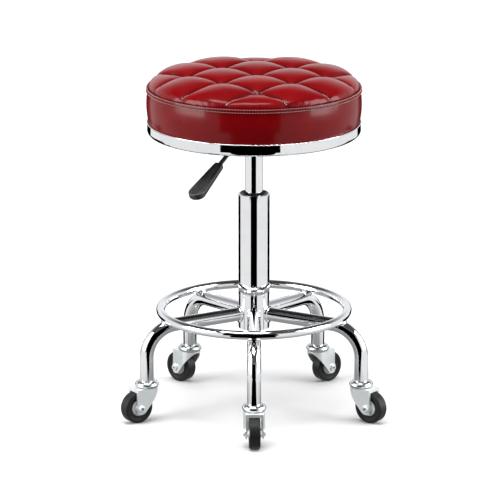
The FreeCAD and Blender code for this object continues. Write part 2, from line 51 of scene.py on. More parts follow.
# camera
shot = {
    "place": (-0.0064, -5.219, 1.677),
    "tiltDown": 14.95,
    "lens": 243.3,
    "sensor": 36,
    "clipEnd": 60,
}
cameraData = bpy.data.cameras.new("shotCamera")
cameraData.lens = shot["lens"]
cameraData.sensor_width = shot["sensor"]
cameraData.clip_end = shot["clipEnd"]
camera = bpy.data.objects.new("shotCamera", cameraData)
camera.location = shot["place"]
camera.rotation_euler = (math.radians(90 - shot["tiltDown"]), 0, 0)
scene.collection.objects.link(camera)
scene.camera = camera
scene.view_settings.view_transform = "Standard"
scene.view_settings.look = "None"
print("camera ready")


# small helpers
def toObject(name, bm, smooth=True):
    mesh = bpy.data.meshes.new(name)
    bm.to_mesh(mesh)
    bm.free()
    for face in mesh.polygons:
        face.use_smooth = smooth
    piece = bpy.data.objects.new(name, mesh)
    scene.collection.objects.link(piece)
    return piece


def dress(piece, material):
    piece.data.materials.clear()
    piece.data.materials.append(material)


def spinProfile(bm, points, steps):
    # turns a line of (radius, height) points once about the column's axis
    verts = [bm.verts.new((radius, 0, height)) for radius, height in points]
    edges = [bm.edges.new(pair) for pair in zip(verts, verts[1:])]
    bmesh.ops.spin(
        bm, geom=verts + edges, cent=(0, 0, 0), axis=up, dvec=(0, 0, 0),
        angle=math.tau, steps=steps, use_merge=True, use_duplicate=False,
    )
    bmesh.ops.remove_doubles(bm, verts=bm.verts[:], dist=1e-6)
    bmesh.ops.recalc_face_normals(bm, faces=bm.faces[:])


def addModifier(piece, kind, **settings):
    modifier = piece.modifiers.new(kind.title(), kind)
    for setting, value in settings.items():
        setattr(modifier, setting, value)
    return modifier


def smoothStep(low, high, value):
    t = min(1.0, max(0.0, (value - low) / (high - low)))
    return t * t * (3 - 2 * t)


# shader groups that several finishes share
def startGroup(name, inputs, outputs):
    group = bpy.data.node_groups.new(name, "ShaderNodeTree")
    for label, kind, default in inputs:
        socket = group.interface.new_socket(label, in_out="INPUT", socket_type=kind)
        socket.default_value = default
    for label, kind in outputs:
        group.interface.new_socket(label, in_out="OUTPUT", socket_type=kind)
    source = group.nodes.new("NodeGroupInput")
    sink = group.nodes.new("NodeGroupOutput")
    return group, source, sink


def mathNode(tree, operation, first, second=None, clamp=False):
    node = tree.nodes.new("ShaderNodeMath")
    node.operation = operation
    node.use_clamp = clamp
    for socket, value in zip(node.inputs, (first, second)):
        if value is None:
            continue
        if isinstance(value, (int, float)):
            socket.default_value = value
        else:
            tree.links.new(value, socket)
    return node.outputs[0]


def scaledPlace(tree, scale=(1.0, 1.0, 1.0)):
    # Object coordinates in metres, multiplied along each axis
    place = tree.nodes.new("ShaderNodeTexCoord")
    node = tree.nodes.new("ShaderNodeVectorMath")
    node.operation = "MULTIPLY"
    tree.links.new(place.outputs["Object"], node.inputs[0])
    if isinstance(scale, tuple):
        node.inputs[1].default_value = scale
    else:
        tree.links.new(scale, node.inputs[1])
    return node.outputs[0]


def noiseNode(tree, place, scale, detail=3.0, roughness=0.55):
    node = tree.nodes.new("ShaderNodeTexNoise")
    node.inputs["Detail"].default_value = detail
    node.inputs["Roughness"].default_value = roughness
    tree.links.new(place, node.inputs["Vector"])
    if isinstance(scale, (int, float)):
        node.inputs["Scale"].default_value = scale
    else:
        tree.links.new(scale, node.inputs["Scale"])
    return node.outputs["Fac"]


def remap(tree, value, fromLow, fromHigh, toLow, toHigh):
    node = tree.nodes.new("ShaderNodeMapRange")
    node.clamp = True
    tree.links.new(value, node.inputs["Value"])
    labels = ("From Min", "From Max", "To Min", "To Max")
    for label, number in zip(labels, (fromLow, fromHigh, toLow, toHigh)):
        if isinstance(number, (int, float)):
            node.inputs[label].default_value = number
        else:
            tree.links.new(number, node.inputs[label])
    return node.outputs["Result"]


def mixColour(tree, amount, first, second):
    node = tree.nodes.new("ShaderNodeMix")
    node.data_type = "RGBA"
    sockets = [s for s in node.inputs if s.enabled]
    for socket, value in zip(sockets, (amount, first, second)):
        if isinstance(value, (int, float, tuple)):
            socket.default_value = value
        else:
            tree.links.new(value, socket)
    return [s for s in node.outputs if s.enabled][0]


def buildHideGrain():
    # pebbled surface of coated leather: large cells with fine creases over them
    group, source, sink = startGroup(
        "hideGrain",
        [("Cells Per Metre", "NodeSocketFloat", 700.0), ("Pebble", "NodeSocketFloat", 0.7)],
        [("Height", "NodeSocketFloat"), ("Cell Tone", "NodeSocketFloat")],
    )
    place = scaledPlace(group)
    cells = group.nodes.new("ShaderNodeTexVoronoi")
    cells.feature = "SMOOTH_F1"
    group.links.new(place, cells.inputs["Vector"])
    group.links.new(source.outputs["Cells Per Metre"], cells.inputs["Scale"])
    finer = mathNode(group, "MULTIPLY", source.outputs["Cells Per Metre"], 2.5)
    fine = noiseNode(group, place, finer, 4.0)
    pebble = mathNode(group, "MULTIPLY", cells.outputs["Distance"], source.outputs["Pebble"])
    height = mathNode(group, "ADD", pebble, mathNode(group, "MULTIPLY", fine, 0.35))
    group.links.new(height, sink.inputs["Height"])
    group.links.new(cells.outputs["Distance"], sink.inputs["Cell Tone"])
    return group


def buildToneDrift():
    # slow drift between two colours, as dye, plating or moulding leaves it
    group, source, sink = startGroup(
        "toneDrift",
        [
            ("Low", "NodeSocketColor", (0.1, 0.1, 0.1, 1)),
            ("High", "NodeSocketColor", (0.2, 0.2, 0.2, 1)),
            ("Patches Per Metre", "NodeSocketFloat", 20.0),
        ],
        [("Colour", "NodeSocketColor"), ("Drift", "NodeSocketFloat")],
    )
    place = scaledPlace(group)
    broad = noiseNode(group, place, source.outputs["Patches Per Metre"], 3.0, 0.6)
    closer = mathNode(group, "MULTIPLY", source.outputs["Patches Per Metre"], 7.0)
    close = noiseNode(group, place, closer, 3.0)
    blend = mathNode(
        group, "ADD", mathNode(group, "MULTIPLY", broad, 0.7), mathNode(group, "MULTIPLY", close, 0.3))
    drift = remap(group, blend, 0.36, 0.64, 0.0, 1.0)
    colour = mixColour(group, drift, source.outputs["Low"], source.outputs["High"])
    group.links.new(colour, sink.inputs["Colour"])
    group.links.new(drift, sink.inputs["Drift"])
    return group


def buildHandling():
    # smudges and hairlines that change how sharp a shine is
    group, source, sink = startGroup(
        "handling",
        [("Clean", "NodeSocketFloat", 0.05), ("Smudged", "NodeSocketFloat", 0.15)],
        [("Roughness", "NodeSocketFloat"), ("Hairline", "NodeSocketFloat")],
    )
    smudge = noiseNode(group, scaledPlace(group), 26.0, 4.0, 0.62)
    hair = noiseNode(group, scaledPlace(group, (1400.0, 1400.0, 45.0)), 1.0, 2.0)
    amount = remap(group, smudge, 0.48, 0.72, 0.0, 1.0)
    lines = remap(group, hair, 0.62, 0.70, 0.0, 0.35)
    mask = mathNode(group, "ADD", amount, lines, clamp=True)
    rough = remap(group, mask, 0.0, 1.0, source.outputs["Clean"], source.outputs["Smudged"])
    group.links.new(rough, sink.inputs["Roughness"])
    group.links.new(lines, sink.inputs["Hairline"])
    return group


def buildDusting():
    # pale dust that settles on what faces up
    group, source, sink = startGroup(
        "dusting",
        [("Colour", "NodeSocketColor", (0.1, 0.1, 0.1, 1)), ("Amount", "NodeSocketFloat", 0.2)],
        [("Colour", "NodeSocketColor"), ("Mask", "NodeSocketFloat")],
    )
    facing = group.nodes.new("ShaderNodeNewGeometry")
    parts = group.nodes.new("ShaderNodeSeparateXYZ")
    group.links.new(facing.outputs["Normal"], parts.inputs[0])
    level = remap(group, parts.outputs["Z"], 0.2, 1.0, 0.0, 1.0)
    grains = noiseNode(group, scaledPlace(group), 240.0, 5.0, 0.7)
    speck = remap(group, grains, 0.4, 0.75, 0.15, 1.0)
    settled = mathNode(group, "MULTIPLY", level, speck)
    mask = mathNode(group, "MULTIPLY", settled, source.outputs["Amount"])
    dusty = mixColour(group, mask, source.outputs["Colour"], (0.42, 0.40, 0.37, 1))
    group.links.new(dusty, sink.inputs["Colour"])
    group.links.new(mask, sink.inputs["Mask"])
    return group


shared = {
    "grain": buildHideGrain(),
    "drift": buildToneDrift(),
    "handling": buildHandling(),
    "dust": buildDusting(),
}
print("shader groups ready")


# finishes
def startFinish(name, **settings):
    material = bpy.data.materials.new(name)
    material.use_nodes = True
    tree = material.node_tree
    tree.nodes.clear()
    out = tree.nodes.new("ShaderNodeOutputMaterial")
    shader = tree.nodes.new("ShaderNodeBsdfPrincipled")
    tree.links.new(shader.outputs["BSDF"], out.inputs["Surface"])
    for label, value in settings.items():
        shader.inputs[label].default_value = value
    return material, tree, shader


def placeGroup(tree, key, **values):
    node = tree.nodes.new("ShaderNodeGroup")
    node.node_tree = shared[key]
    for label, value in values.items():
        socket = node.inputs[label]
        if isinstance(value, (int, float, tuple)):
            socket.default_value = value
        else:
            tree.links.new(value, socket)
    return node


def addBump(tree, shader, height, depth, strength=1.0):
    bump = tree.nodes.new("ShaderNodeBump")
    bump.inputs["Distance"].default_value = depth
    bump.inputs["Strength"].default_value = strength
    tree.links.new(height, bump.inputs["Height"])
    tree.links.new(bump.outputs["Normal"], shader.inputs["Normal"])


leather = {
    "deep": (0.132, 0.0004, 0.0014, 1),
    "bright": (0.172, 0.0008, 0.0024, 1),
    # colour of the painted shade in the creases; the grain's cells also lean a little towards it
    "crease": (0.020, 0.0001, 0.0003, 1),
    "coat": 0.38,
    "coatRoughness": 0.13,
    "specular": 0.08,
    "refraction": 1.45,
    "patchesPerMetre": 9.0,
    "cellsPerMetre": 850.0,
    "pebble": 0.8,
    "pitTone": 0.12,
    "grainDepth": 0.00008,
    "grainStrength": 0.4,
    "roughness": (0.27, 0.35),
    "creaseRoughness": 0.2,
}


def makeLeather():
    material, tree, shader = startFinish("redLeather", **{
        "Coat Weight": leather["coat"],
        "Coat Roughness": leather["coatRoughness"],
        "Coat IOR": leather["refraction"],
        "IOR": leather["refraction"],
        "Specular IOR Level": leather["specular"],
    })
    drift = placeGroup(tree, "drift", **{
        "Low": leather["deep"],
        "High": leather["bright"],
        "Patches Per Metre": leather["patchesPerMetre"],
    })
    grain = placeGroup(tree, "grain", **{
        "Cells Per Metre": leather["cellsPerMetre"],
        "Pebble": leather["pebble"],
    })
    # painted shade: the crease layer darkens the colour towards the crease colour in the quilt's
    # valleys, at their crossings and over the seam strip
    crease = tree.nodes.new("ShaderNodeAttribute")
    crease.attribute_name = "crease"
    creaseShaded = mixColour(tree, crease.outputs["Fac"], drift.outputs["Colour"], leather["crease"])
    pits = remap(tree, grain.outputs["Cell Tone"], 0.1, 0.75, 0.0, leather["pitTone"])
    tree.links.new(mixColour(tree, pits, creaseShaded, leather["crease"]), shader.inputs["Base Color"])
    smooth = remap(tree, drift.outputs["Drift"], 0.0, 1.0, *leather["roughness"])
    dull = mathNode(tree, "MULTIPLY", crease.outputs["Fac"], leather["creaseRoughness"])
    tree.links.new(mathNode(tree, "ADD", smooth, dull), shader.inputs["Roughness"])
    addBump(tree, shader, grain.outputs["Height"], leather["grainDepth"], leather["grainStrength"])
    return material


def makeThread():
    material, tree, shader = startFinish("redThread", **{"IOR": 1.5})
    twist = noiseNode(tree, scaledPlace(tree), 2600.0, 2.0)
    strand = remap(tree, twist, 0.35, 0.65, 0.0, 1.0)
    tone = mixColour(tree, strand, (0.50, 0.12, 0.13, 1), (0.90, 0.42, 0.42, 1))
    tree.links.new(tone, shader.inputs["Base Color"])
    tree.links.new(remap(tree, twist, 0.3, 0.7, 0.4, 0.6), shader.inputs["Roughness"])
    addBump(tree, shader, twist, 0.0001, 0.6)
    return material


def makeMetal(name, low, high, clean, smudged, patches, hairDepth=0.0, metallic=1.0):
    material, tree, shader = startFinish(name, **{"Metallic": metallic})
    drift = placeGroup(tree, "drift", **{"Low": low, "High": high, "Patches Per Metre": patches})
    handled = placeGroup(tree, "handling", Clean=clean, Smudged=smudged)
    tree.links.new(drift.outputs["Colour"], shader.inputs["Base Color"])
    tree.links.new(handled.outputs["Roughness"], shader.inputs["Roughness"])
    if hairDepth:
        addBump(tree, shader, handled.outputs["Hairline"], hairDepth, 0.6)
    return material


def makeGroundSteel():
    # turned and ground: fine rings round the column's axis
    material, tree, shader = startFinish("groundSteel", Metallic=1.0)
    rings = noiseNode(tree, scaledPlace(tree, (8.0, 8.0, 5200.0)), 1.0, 2.0)
    tone = mixColour(tree, rings, (0.50, 0.50, 0.51, 1), (0.68, 0.68, 0.68, 1))
    tree.links.new(tone, shader.inputs["Base Color"])
    tree.links.new(remap(tree, rings, 0.3, 0.7, 0.16, 0.30), shader.inputs["Roughness"])
    addBump(tree, shader, rings, 0.00002, 0.6)
    return material


def makeCoated(name, low, high, rough, peelPerMetre, peelDepth, dust, shine=0.5):
    # powder coat, moulded plastic and rubber: a tone that drifts, a fine texture and a little dust
    material, tree, shader = startFinish(name, **{"IOR": 1.5, "Specular IOR Level": shine})
    drift = placeGroup(tree, "drift", **{"Low": low, "High": high, "Patches Per Metre": 30.0})
    settled = placeGroup(tree, "dust", Colour=drift.outputs["Colour"], Amount=dust)
    peel = noiseNode(tree, scaledPlace(tree), peelPerMetre, 3.0)
    tree.links.new(settled.outputs["Colour"], shader.inputs["Base Color"])
    dull = mathNode(tree, "MULTIPLY", settled.outputs["Mask"], 0.4)
    sheen = mathNode(tree, "ADD", remap(tree, peel, 0.3, 0.7, *rough), dull)
    tree.links.new(sheen, shader.inputs["Roughness"])
    addBump(tree, shader, peel, peelDepth, 0.6)
    return material


def makeFoam():
    material, tree, shader = startFinish("cutFoam", IOR=1.45, **{"Subsurface Weight": 0.1})
    cells = tree.nodes.new("ShaderNodeTexVoronoi")
    cells.inputs["Scale"].default_value = 900.0
    tree.links.new(scaledPlace(tree), cells.inputs["Vector"])
    tone = mixColour(tree, remap(tree, cells.outputs["Distance"], 0.1, 0.7, 0.0, 1.0),
                     (0.80, 0.74, 0.52, 1), (0.52, 0.45, 0.25, 1))
    tree.links.new(tone, shader.inputs["Base Color"])
    rough = remap(tree, cells.outputs["Distance"], 0.0, 0.8, 0.8, 0.95)
    tree.links.new(rough, shader.inputs["Roughness"])
    addBump(tree, shader, cells.outputs["Distance"], 0.0006, 0.8)
    return material


def makePlywood():
    # birch faces with a grain along X, and the plies' dark and light lines on the edge
    material, tree, shader = startFinish("birchPlywood", IOR=1.45)
    grain = noiseNode(tree, scaledPlace(tree, (9.0, 160.0, 900.0)), 1.0, 5.0, 0.6)
    rings = remap(tree, grain, 0.3, 0.7, 0.0, 1.0)
    wood = mixColour(tree, rings, (0.42, 0.26, 0.12, 1), (0.70, 0.50, 0.29, 1))
    plies = tree.nodes.new("ShaderNodeTexWave")
    plies.bands_direction = "Z"
    plies.inputs["Scale"].default_value = 90.0
    plies.inputs["Distortion"].default_value = 0.4
    tree.links.new(scaledPlace(tree), plies.inputs["Vector"])
    line = mathNode(tree, "MULTIPLY", plies.outputs["Fac"], 0.45)
    tree.links.new(mixColour(tree, line, wood, (0.20, 0.11, 0.05, 1)), shader.inputs["Base Color"])
    tree.links.new(remap(tree, grain, 0.3, 0.7, 0.55, 0.75), shader.inputs["Roughness"])
    addBump(tree, shader, grain, 0.0002, 0.6)
    return material


def makeCambric():
    # spun-bonded black cloth: loose fibres, pressed in a small grid of points
    material, tree, shader = startFinish("blackCambric", IOR=1.45, **{"Sheen Weight": 0.25})
    fibres = noiseNode(tree, scaledPlace(tree), 1500.0, 6.0, 0.75)
    dots = tree.nodes.new("ShaderNodeTexVoronoi")
    dots.inputs["Scale"].default_value = 560.0
    dots.inputs["Randomness"].default_value = 0.0
    tree.links.new(scaledPlace(tree), dots.inputs["Vector"])
    press = remap(tree, dots.outputs["Distance"], 0.15, 0.35, 0.0, 1.0)
    loose = remap(tree, fibres, 0.35, 0.65, 0.0, 1.0)
    tone = mixColour(tree, loose, (0.006, 0.006, 0.007, 1), (0.028, 0.028, 0.030, 1))
    tree.links.new(tone, shader.inputs["Base Color"])
    tree.links.new(remap(tree, press, 0.0, 1.0, 0.55, 0.9), shader.inputs["Roughness"])
    addBump(tree, shader, mathNode(tree, "ADD", press, fibres), 0.00012, 0.7)
    return material


finishes = {
    "red_leather": makeLeather(),
    "chrome_tube": makeMetal(
        "chromePlate", low=(0.84, 0.85, 0.87, 1), high=(0.91, 0.92, 0.93, 1),
        clean=0.03, smudged=0.085, patches=9.0),
    "zinc_plate": makeMetal(
        "brightZinc", low=(0.84, 0.88, 0.89, 1), high=(0.89, 0.92, 0.93, 1),
        clean=0.30, smudged=0.38, patches=14.0, hairDepth=0.00001, metallic=0.6),
    "ground_steel": makeGroundSteel(),
    "black_steel": makeCoated(
        "blackPowderCoat", low=(0.010, 0.010, 0.011, 1), high=(0.020, 0.020, 0.021, 1),
        rough=(0.38, 0.55), peelPerMetre=900.0, peelDepth=0.00008, dust=0.12),
    "black_plastic": makeCoated(
        "blackPlastic", low=(0.012, 0.012, 0.013, 1), high=(0.021, 0.021, 0.022, 1),
        rough=(0.30, 0.44), peelPerMetre=2400.0, peelDepth=0.00004, dust=0.10, shine=0.38),
    "grey_plastic": makeCoated(
        "greyPlastic", low=(0.66, 0.69, 0.69, 1), high=(0.76, 0.78, 0.78, 1),
        rough=(0.36, 0.50), peelPerMetre=1800.0, peelDepth=0.00004, dust=0.08),
    "black_rubber": makeCoated(
        "blackTyre", low=(0.006, 0.006, 0.006, 1), high=(0.012, 0.0115, 0.0115, 1),
        rough=(0.38, 0.52), peelPerMetre=1300.0, peelDepth=0.00005, dust=0.02, shine=0.28),
    "foam": makeFoam(),
    "plywood": makePlywood(),
    "black_cloth": makeCambric(),
}
thread = makeThread()
capPlate = makeMetal(
    "barrelPlate", low=(0.64, 0.67, 0.68, 1), high=(0.72, 0.745, 0.75, 1),
    clean=0.22, smudged=0.30, patches=14.0, hairDepth=0.00001)
for row in frame["record"]["subparts"]:
    dress(frame["nodes"][row["node"]], finishes[row["material_slot"]])
dress(frame["nodes"]["swivel_caps"], capPlate)
print("finishes ready")


# quilted top panel: a flat disc of leather quilted in diamonds, pulled over the crown
panelLow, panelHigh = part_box("top_panel")
quilt = {
    "rimRadius": panelHigh.x,
    "rimHeight": panelLow.z,
    "crownHeight": panelHigh.z,
    "crownPower": 4.5,
    "shoulderPower": 0.476,
    "linePitch": 0.078,  # between two stitched lines of one direction
    "cellsPerPad": 20,
    "patternRight": 0.0045,  # the middle crossing stands a little off the seat's axis
    "patternForward": 0.0060,
    "outerPads": 0.150,  # pads centred further out than this are cut by the seam and fill less
    "outerFill": 0.55,
    "valleyDepth": 0.0132,
    "rimDepth": 0.0030,
    "nodeDip": 0.0030,
    "nodeSpread": 0.0065,
    "saddle": 0.30,  # how far a line lifts half way between two crossings
    "rimFade": 0.045,  # the valleys get shallower over this distance from the rim
    # width of the painted shade along each stitched line, and how dark it is on the lines and at the
    # crossings
    "creaseWidth": 0.0022,
    "lineShade": 0.9,
    "nodeShade": 0.8,
    "sharpness": 0.85,
    "thickness": 0.0014,
    "frames": 20,
    "cap": 0.0035,  # no place of the leather is pushed further than this
}
# cloth settings for the leather between the held lines
swell = {
    "quality": 8,
    "mass": 0.25,
    "tension_stiffness": 18,
    "compression_stiffness": 12,
    "shear_stiffness": 8,
    "bending_stiffness": 0.8,
    "use_pressure": True,
    "uniform_pressure_force": 4.0,
    "shrink_min": -0.004,
    "vertex_group_mass": "held",
}


def crownAt(radius):
    share = min(1.0, radius / quilt["rimRadius"])
    rise = quilt["crownHeight"] - quilt["rimHeight"]
    return quilt["rimHeight"] + rise * (1 - share ** quilt["crownPower"]) ** quilt["shoulderPower"]


def crownTable(steps=900):
    # (distance along the leather, radius, height, normal) from the middle of the crown to its rim
    table = []
    along = 0.0
    last = (0.0, crownAt(0.0))
    for i in range(steps + 1):
        radius = quilt["rimRadius"] * math.sin(math.pi / 2 * i / steps)
        here = (radius, crownAt(radius))
        along += math.dist(here, last)
        step = Vector((here[0] - last[0], here[1] - last[1]))
        normal = Vector((-step.y, step.x)).normalized() if i else Vector((0, 1))
        table.append((along, here[0], here[1], normal))
        last = here
    return table


crown = crownTable()
flatRadius = crown[-1][0]
# the rim's middle, along the stitched lines' directions
middleU = (quilt["patternForward"] - quilt["patternRight"]) * math.sqrt(0.5)
middleV = (quilt["patternForward"] + quilt["patternRight"]) * math.sqrt(0.5)


def alongCrown(distance):
    low, high = 0, len(crown) - 1
    while high - low > 1:
        middle = (low + high) // 2
        if crown[middle][0] <= distance:
            low = middle
        else:
            high = middle
    first, second = crown[low], crown[high]
    t = min(1.0, max(0.0, (distance - first[0]) / (second[0] - first[0])))
    normal = first[3].lerp(second[3], t)
    radius = first[1] + t * (second[1] - first[1])
    height = first[2] + t * (second[2] - first[2])
    return radius, height, normal


def lineGap(value):
    # distance to the nearest of the three stitched lines
    return min(abs(value - line * quilt["linePitch"]) for line in (-1, 0, 1))


def padRound(gap):
    t = min(1.0, gap / (quilt["linePitch"] / 2))
    return math.sqrt(1 - (1 - t) ** 2)


def padFill(u, v):
    # small pads that the seam cuts across are filled less
    pitch = quilt["linePitch"]
    column, row = (min(1, max(-2, math.floor(value / pitch))) + 0.5 for value in (u, v))
    reach = math.dist((column * pitch, row * pitch), (middleU, middleV))
    return quilt["outerFill"] if reach > quilt["outerPads"] else 1.0


def padDepth(u, v, distance):
    # how far the leather lies under the crown's envelope, at a place on the flat panel
    fromRim = flatRadius - distance
    across, along = padRound(lineGap(u)), padRound(lineGap(v))
    rise = across * along * (1 - quilt["saddle"]) * padFill(u, v)
    rise += 0.5 * (across + along) * quilt["saddle"]
    fade = smoothStep(0.0, quilt["rimFade"], fromRim)
    depth = quilt["rimDepth"] + (quilt["valleyDepth"] - quilt["rimDepth"]) * fade
    crossing = (lineGap(u) ** 2 + lineGap(v) ** 2) / quilt["nodeSpread"] ** 2
    dip = quilt["nodeDip"] * fade * math.exp(-crossing)
    return depth * (1 - rise) + dip


def onPanel(u, v):
    # place in the row frame of a point (u, v) of the flat panel, whose axes run along the stitched lines
    x = (u - v) * math.sqrt(0.5) + quilt["patternRight"]
    y = (u + v) * math.sqrt(0.5) - quilt["patternForward"]
    distance = math.hypot(x, y)
    radius, height, normal = alongCrown(distance)
    depth = padDepth(u, v, distance)
    radius -= normal.x * depth
    height -= normal.y * depth
    turn = math.atan2(y, x)
    return Vector((radius * math.cos(turn), radius * math.sin(turn), height))


def makeQuiltedPanel():
    cell = quilt["linePitch"] / quilt["cellsPerPad"]
    count = 2 * math.ceil((flatRadius + middleV) / cell + 1)
    bm = bmesh.new()
    creaseLayer = bm.verts.layers.float.new("crease")
    sharpLayer = bm.edges.layers.float.new("crease_edge")
    bmesh.ops.create_grid(bm, x_segments=count, y_segments=count, size=count * cell / 2)
    middle = Vector((middleU, middleV, 0))
    outside = [v for v in bm.verts if (v.co - middle).length > flatRadius - 0.25 * cell]
    bmesh.ops.delete(bm, geom=outside, context="VERTS")
    bm.verts.index_update()
    rim = [v for v in bm.verts if v.is_boundary]
    for vert in rim:
        vert.co = middle + (vert.co - middle).normalized() * flatRadius
    flat = {}
    for vert in bm.verts:
        flat[vert.index] = (vert.co.x, vert.co.y)
        # painted shade along the stitched valleys and at their crossings, kept in the crease layer
        gaps = lineGap(vert.co.x), lineGap(vert.co.y)
        crossing = math.exp(-(math.hypot(*gaps) / quilt["nodeSpread"]) ** 2)
        line = math.exp(-min(gaps) / quilt["creaseWidth"])
        vert[creaseLayer] = max(quilt["lineShade"] * line, quilt["nodeShade"] * crossing)
    near = 0.1 * cell
    onLine = {v.index for v in bm.verts if min(lineGap(v.co.x), lineGap(v.co.y)) < near}
    for edge in bm.edges:
        first, second = edge.verts
        same = min(abs(first.co.x - second.co.x), abs(first.co.y - second.co.y)) < near
        if first.index in onLine and second.index in onLine and same:
            edge[sharpLayer] = quilt["sharpness"]
    held = sorted(onLine | {v.index for v in rim})
    for vert in bm.verts:
        vert.co = onPanel(*flat[vert.index])
    bmesh.ops.recalc_face_normals(bm, faces=bm.faces[:])
    panel = toObject("quiltedPanel", bm)
    panel.vertex_groups.new(name="held").add(held, 1.0, "REPLACE")
    return panel


def inflate(piece):
    # the filling pushes the leather up between the stitched lines; the result goes back into the mesh
    start = [v.co.copy() for v in piece.data.vertices]
    cloth = piece.modifiers.new("Inflate", "CLOTH")
    for setting, value in swell.items():
        setattr(cloth.settings, setting, value)
    cloth.settings.effector_weights.gravity = 0
    cloth.collision_settings.use_collision = False
    cloth.point_cache.frame_start = 1
    cloth.point_cache.frame_end = quilt["frames"]
    for step in range(1, quilt["frames"] + 1):
        scene.frame_set(step)
    swollen = piece.evaluated_get(bpy.context.evaluated_depsgraph_get())
    moved = [v.co.copy() for v in swollen.data.vertices]
    piece.modifiers.remove(cloth)
    scene.frame_set(1)
    furthest = 0.0
    for vert, before, after in zip(piece.data.vertices, start, moved):
        step = after - before
        furthest = max(furthest, step.length)
        if step.length > quilt["cap"]:
            step *= quilt["cap"] / step.length
        vert.co = before + step
    piece.data.update()
    print("quilted panel swelled by up to", round(furthest * 1000, 1), "mm")


quiltedPanel = makeQuiltedPanel()
inflate(quiltedPanel)
addModifier(quiltedPanel, "SUBSURF", levels=1, render_levels=1)
addModifier(quiltedPanel, "SOLIDIFY", thickness=quilt["thickness"], offset=-1)
dress(quiltedPanel, finishes["red_leather"])
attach(quiltedPanel, "seat")
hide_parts("top_panel")
print("quilted panel ready")


# stitches: short threads that lie along a line
def addStitch(bm, place, along, outward, length, radius):
    side = along.cross(outward).normalized()
    turn = Matrix((along, side, outward)).transposed().to_4x4()
    shape = Matrix.Diagonal((length / 2 / radius, 1, 1, 1))
    matrix = Matrix.Translation(place) @ turn @ shape
    bmesh.ops.create_uvsphere(bm, u_segments=6, v_segments=4, radius=radius, matrix=matrix)


stitching = {
    "radius": 0.00065,
    "quiltPitch": 0.0046,
    "quiltLength": 0.0034,
    "crossingGap": 0.0075,  # no thread nearer to a crossing than this
    "seamPitch": 0.0045,
    "seamLength": 0.0024,
    "proud": 0.00035,
    "sunk": 0.0001,
    "rimGap": 0.006,
    "lookAhead": 0.001,  # step along a line that gives a thread its direction
}


def makeQuiltStitches():
    bm = bmesh.new()
    for line in (-1, 0, 1):
        fixed = line * quilt["linePitch"]
        for swap in (False, True):
            aside, centre = (fixed - middleV, middleU) if swap else (fixed - middleU, middleV)
            reach = math.sqrt(flatRadius ** 2 - aside ** 2) - stitching["rimGap"]
            for i in range(int(2 * reach / stitching["quiltPitch"])):
                free = centre - reach + (i + 0.5) * stitching["quiltPitch"]
                if lineGap(free) < stitching["crossingGap"]:
                    continue
                beyond = free + stitching["lookAhead"]
                here = onPanel(free, fixed) if swap else onPanel(fixed, free)
                ahead = onPanel(beyond, fixed) if swap else onPanel(fixed, beyond)
                along = (ahead - here).normalized()
                outward = (up - along * along.z).normalized()
                place = here + outward * stitching["proud"]
                addStitch(bm, place, along, outward, stitching["quiltLength"], stitching["radius"])
    return toObject("quiltStitches", bm)


quiltStitches = makeQuiltStitches()
dress(quiltStitches, thread)
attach(quiltStitches, "seat")
print("quilt stitches ready")


# boxing band: the smooth side of the cushion, its hem folded under the board
bandLow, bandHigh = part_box("side_band")
band = {
    "bulgeRadius": bandHigh.x,
    "footRadius": 0.1676,
    "footHeight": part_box("trim_ring")[1].z + 0.001,
    "foldRadius": 0.0048,
    "hemRadius": 0.146,
    "topRadius": 0.1686,
    "topHeight": bandHigh.z,
    "steps": 288,
    "thickness": 0.0014,
    "foldTurns": 6,
    "sideRows": 18,
    "lean": 0.001,
    "tuckIn": 0.0035,  # the top edge goes under the quilted panel
    "tuckUp": 0.0002,
    "bulgeReach": 1.04,
    "bulgePower": 0.9,
    "ripple": 0.0003,
    "broadWaves": (34, 34, 22),
    "closeWaves": (120, 120, 12),
    "closeShare": 0.06,
    "calmFoot": (0.482, 0.492),  # no ripples at the first height, all of them at the second
    "calmTop": (0.5335, 0.522),
}


def wavesAt(place, perMetre):
    return noise.noise(Vector([reach * waves for reach, waves in zip(place, perMetre)]))


def makeBand():
    hem = bandLow.z
    fold = band["foldRadius"]
    bend = band["footRadius"] - fold
    points = [(band["hemRadius"], hem), (bend, hem)]
    for i in range(1, band["foldTurns"] + 1):
        a = math.radians(-90 + 90 / band["foldTurns"] * i)
        points.append((bend + fold * math.cos(a), hem + fold + fold * math.sin(a)))
    bulge = band["bulgeRadius"] - band["footRadius"]
    span = band["topHeight"] - band["footHeight"]
    for i in range(band["sideRows"] + 1):
        t = i / band["sideRows"]
        # fullest a little under the middle
        swelling = math.sin(math.pi * min(1.0, t * band["bulgeReach"]) ** band["bulgePower"])
        radius = band["footRadius"] + bulge * swelling + band["lean"] * t
        points.append((radius, band["footHeight"] + t * span))
    points.append((band["topRadius"] - band["tuckIn"], band["topHeight"] + band["tuckUp"]))
    bm = bmesh.new()
    spinProfile(bm, points, band["steps"])
    for vert in bm.verts:
        low, high = smoothStep(*band["calmFoot"], vert.co.z), smoothStep(*band["calmTop"], vert.co.z)
        broad, close = wavesAt(vert.co, band["broadWaves"]), wavesAt(vert.co, band["closeWaves"])
        ripple = band["ripple"] * (broad + band["closeShare"] * close) * low * high
        out = Vector((vert.co.x, vert.co.y, 0)).normalized()
        vert.co += out * ripple
    return toObject("boxingBand", bm)


boxingBand = makeBand()
addModifier(boxingBand, "SOLIDIFY", thickness=band["thickness"], offset=-1)
dress(boxingBand, finishes["red_leather"])
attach(boxingBand, "seat")
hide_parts("side_band")
print("boxing band ready")


